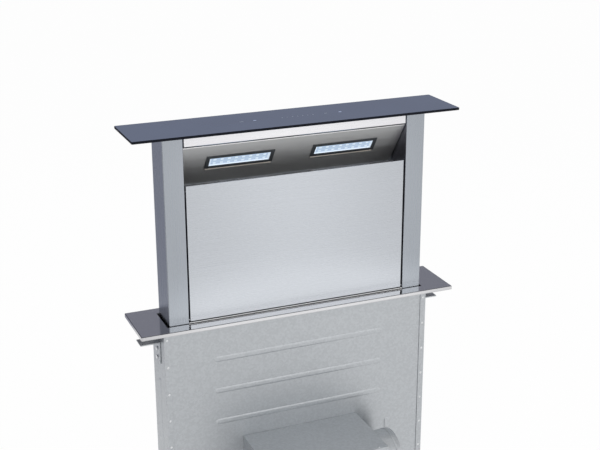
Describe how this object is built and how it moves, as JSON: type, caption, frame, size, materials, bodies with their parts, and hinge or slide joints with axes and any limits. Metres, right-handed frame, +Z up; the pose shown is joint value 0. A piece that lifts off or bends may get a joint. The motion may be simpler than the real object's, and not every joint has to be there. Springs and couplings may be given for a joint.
{
  "type": "downdraft vent",
  "caption": "Rising worktop downdraft vent: glass-topped stainless mast with lamps and tilting front panel, on a racked chassis with blower and duct outlet.",
  "frame": {"origin": "middle of the front seal strip's underside, where the deck rests on the worktop", "axes": "+Z up, +X to the right as the cook faces it, +Y away from the cook"},
  "size_m": [0.87, 0.3366, 1.2068],
  "materials": {
    "dark_glass": "polished tempered glass, dark blue-grey, back-painted",
    "stainless": "brushed stainless, grain along the sheet",
    "zinc_steel": "galvanised sheet, fine spangle",
    "aluminium": "bare expanded-mesh aluminium",
    "gear_steel": "machined and oiled steel",
    "bronze": "sintered bronze",
    "motor_paint": "black painted motor and gearbox",
    "black_plastic": "fine-textured black plastic",
    "grey_plastic": "moulded grey plastic",
    "acetal": "white acetal slide",
    "rubber": "black foam and wiper rubber",
    "lamp_lens": "clear moulded lens with facets",
    "led_board": "white board with lit LEDs, emissive",
    "circuit_board": "green solder mask"
  },
  "bodies": {
    "chassis": {"right_guide_rail": "zinc_steel", "left_guide_rail": "zinc_steel", "right_rack": "gear_steel", "left_rack": "gear_steel", "deck_plate": "stainless", "deck_seal": "rubber", "slot_wiper": "rubber", "chassis_front": "zinc_steel", "chassis_back": "zinc_steel", "right_chassis_side": "zinc_steel", "left_chassis_side": "zinc_steel", "chassis_floor": "zinc_steel", "right_worktop_clamp": "zinc_steel", "left_worktop_clamp": "zinc_steel", "left_rear_foot": "black_plastic", "left_front_foot": "black_plastic", "right_rear_foot": "black_plastic", "right_front_foot": "black_plastic", "blower_housing": "zinc_steel", "blower_cover": "zinc_steel", "blower_scroll": "black_plastic", "scroll_inlet_plate": "black_plastic", "blower_motor": "motor_paint", "outlet_collar": "zinc_steel", "control_box": "grey_plastic", "control_box_lid": "grey_plastic", "cable_gland": "black_plastic"},
    "mast": {"glass_top": "dark_glass", "glass_carrier": "zinc_steel", "touch_control_board": "circuit_board", "right_column": "stainless", "left_column": "stainless", "mast_back_panel": "stainless", "top_fascia": "stainless", "front_skirt": "stainless", "light_panel": "stainless", "left_lamp_bezel": "black_plastic", "left_lamp_lens": "lamp_lens", "left_lamp_board": "led_board", "right_lamp_bezel": "black_plastic", "right_lamp_lens": "lamp_lens", "right_lamp_board": "led_board", "right_panel_pin": "gear_steel", "left_panel_pin": "gear_steel", "left_grease_filter": "aluminium", "right_grease_filter": "aluminium", "mast_base_frame": "zinc_steel", "lift_gearmotor": "motor_paint", "right_shaft_bush": "bronze", "left_shaft_bush": "bronze", "right_slide_shoe": "acetal", "left_slide_shoe": "acetal"},
    "lift_shaft": {"lift_shaft": "gear_steel", "right_pinion": "gear_steel", "left_pinion": "gear_steel"},
    "front_panel": {"front_panel": "stainless", "front_panel_liner": "zinc_steel"},
    "impeller": {"impeller": "grey_plastic"},
    "rear_flap": {"rear_damper_flap": "aluminium"},
    "front_flap": {"front_damper_flap": "aluminium"}
  },
  "joints": [
    {"name": "mast_lift", "type": "slide", "parent": "chassis", "child": "mast", "axis": [0, 0, 1], "range_m": [-0.49, 0]},
    {"name": "lift_shaft_spin", "type": "hinge", "parent": "mast", "child": "lift_shaft", "pos_m": [0, 0.0772, -0.1], "axis": [1, 0, 0], "range_deg": [-2, 1340]},
    {"name": "front_panel_tilt", "type": "hinge", "parent": "mast", "child": "front_panel", "pos_m": [0, 0.0317, 0.019], "axis": [1, 0, 0], "range_deg": [0, 20]},
    {"name": "impeller_spin", "type": "hinge", "parent": "chassis", "child": "impeller", "pos_m": [0, -0.0796, -0.5263], "axis": [0, 1, 0], "continuous": true},
    {"name": "rear_flap_swing", "type": "hinge", "parent": "chassis", "child": "rear_flap", "pos_m": [0.1813, -0.0796, -0.4278], "axis": [0, 0, -1], "range_deg": [0, 75], "stiffness_Nm_per_rad": 0.01},
    {"name": "front_flap_swing", "type": "hinge", "parent": "chassis", "child": "front_flap", "pos_m": [0.1813, -0.0796, -0.4278], "axis": [0, 0, 1], "range_deg": [0, 75], "stiffness_Nm_per_rad": 0.01}
  ],
  "couplings": [
    {"joint": "lift_shaft_spin", "follows": "mast_lift", "rad_per_m": -47.619}
  ]
}
